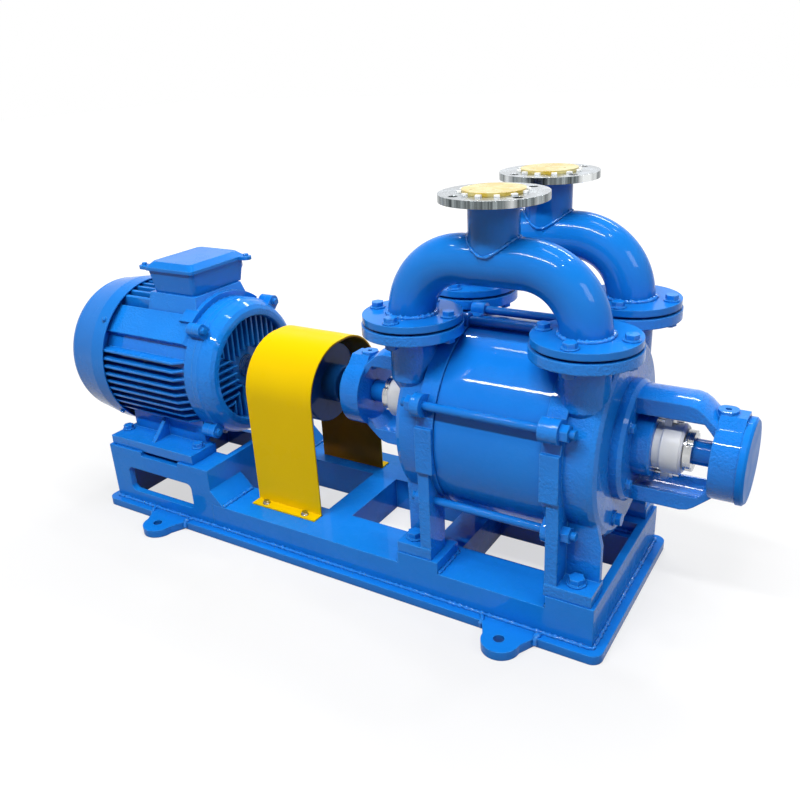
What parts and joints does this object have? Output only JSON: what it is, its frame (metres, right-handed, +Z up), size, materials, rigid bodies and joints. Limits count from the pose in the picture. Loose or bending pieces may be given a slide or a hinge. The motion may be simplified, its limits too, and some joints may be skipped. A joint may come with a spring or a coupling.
{
  "type": "liquid ring vacuum pump set",
  "caption": "Motor-driven liquid ring vacuum pump on a common base, with a guarded pin coupling, arched suction and discharge pipes and flanged upward connections.",
  "frame": {"origin": "floor point under the middle of the set's outer box", "axes": "+X along the shaft from the motor to the pump's free end, +Y across towards the discharge side, +Z up"},
  "size_m": [1.35, 0.4978, 0.698],
  "materials": {
    "blue_paint": "gloss",
    "dark_paint": "gloss",
    "guard_paint": "gloss",
    "steel": "brushed",
    "iron": "machined",
    "copper": "enamelled",
    "rubber": "matt",
    "black_plastic": "matt",
    "white_plastic": "satin",
    "yellow_plastic": "satin"
  },
  "bodies": {
    "pump_set": {"base_frame": "blue_paint", "foot_strip": "blue_paint", "motor_pedestal": "blue_paint", "motor_frame": "blue_paint", "drive_end_shield": "blue_paint", "fan_end_shield": "blue_paint", "fan_cowl": "blue_paint", "terminal_box": "blue_paint", "terminal_box_lid": "blue_paint", "cable_gland": "blue_paint", "motor_foot_bolts": "blue_paint", "end_shield_bolts": "blue_paint", "pump_casing": "blue_paint", "drive_end_cover": "blue_paint", "free_end_cover": "blue_paint", "drive_bearing_bracket": "blue_paint", "free_bearing_bracket": "blue_paint", "bracket_bolts": "blue_paint", "drive_bearing_cap": "blue_paint", "free_bearing_cap": "blue_paint", "tie_rods": "blue_paint", "tie_rod_nuts": "blue_paint", "pump_foot_bolts": "blue_paint", "drain_plugs": "blue_paint", "suction_manifold": "blue_paint", "discharge_manifold": "blue_paint", "flange_bolts": "blue_paint", "coupling_guard": "guard_paint", "guard_bolts": "steel", "motor_outer_rings": "steel", "gland_studs": "steel", "pump_outer_rings": "steel", "suction_flange": "steel", "discharge_flange": "steel", "stator_core": "iron", "drive_port_plate": "iron", "free_port_plate": "iron", "stator_windings": "copper", "gaskets": "rubber", "packing_rings": "rubber", "terminal_block": "black_plastic", "packing_glands": "white_plastic", "cap_tab_rings": "white_plastic", "port_caps": "yellow_plastic"},
    "motor_rotor": {"motor_shaft": "steel", "rotor_core": "iron", "cooling_fan": "black_plastic", "motor_inner_rings": "steel", "motor_key": "steel", "coupling_motor_half": "dark_paint"},
    "pump_rotor": {"pump_shaft": "blue_paint", "impeller": "iron", "impeller_key": "steel", "shaft_sleeves": "steel", "sleeve_lock_rings": "steel", "pump_inner_rings": "steel", "coupling_pump_half": "dark_paint", "coupling_pins": "steel", "coupling_bushes": "rubber", "pump_key": "steel"}
  },
  "joints": [
    {"name": "motor_spin", "type": "hinge", "parent": "pump_set", "child": "motor_rotor", "pos_m": [-0.3, 0, 0.3], "axis": [1, 0, 0], "continuous": true},
    {"name": "pump_spin", "type": "hinge", "parent": "pump_set", "child": "pump_rotor", "pos_m": [0.3205, 0, 0.3], "axis": [1, 0, 0], "continuous": true}
  ],
  "couplings": [
    {"joint": "pump_spin", "follows": "motor_spin", "ratio": 1}
  ]
}
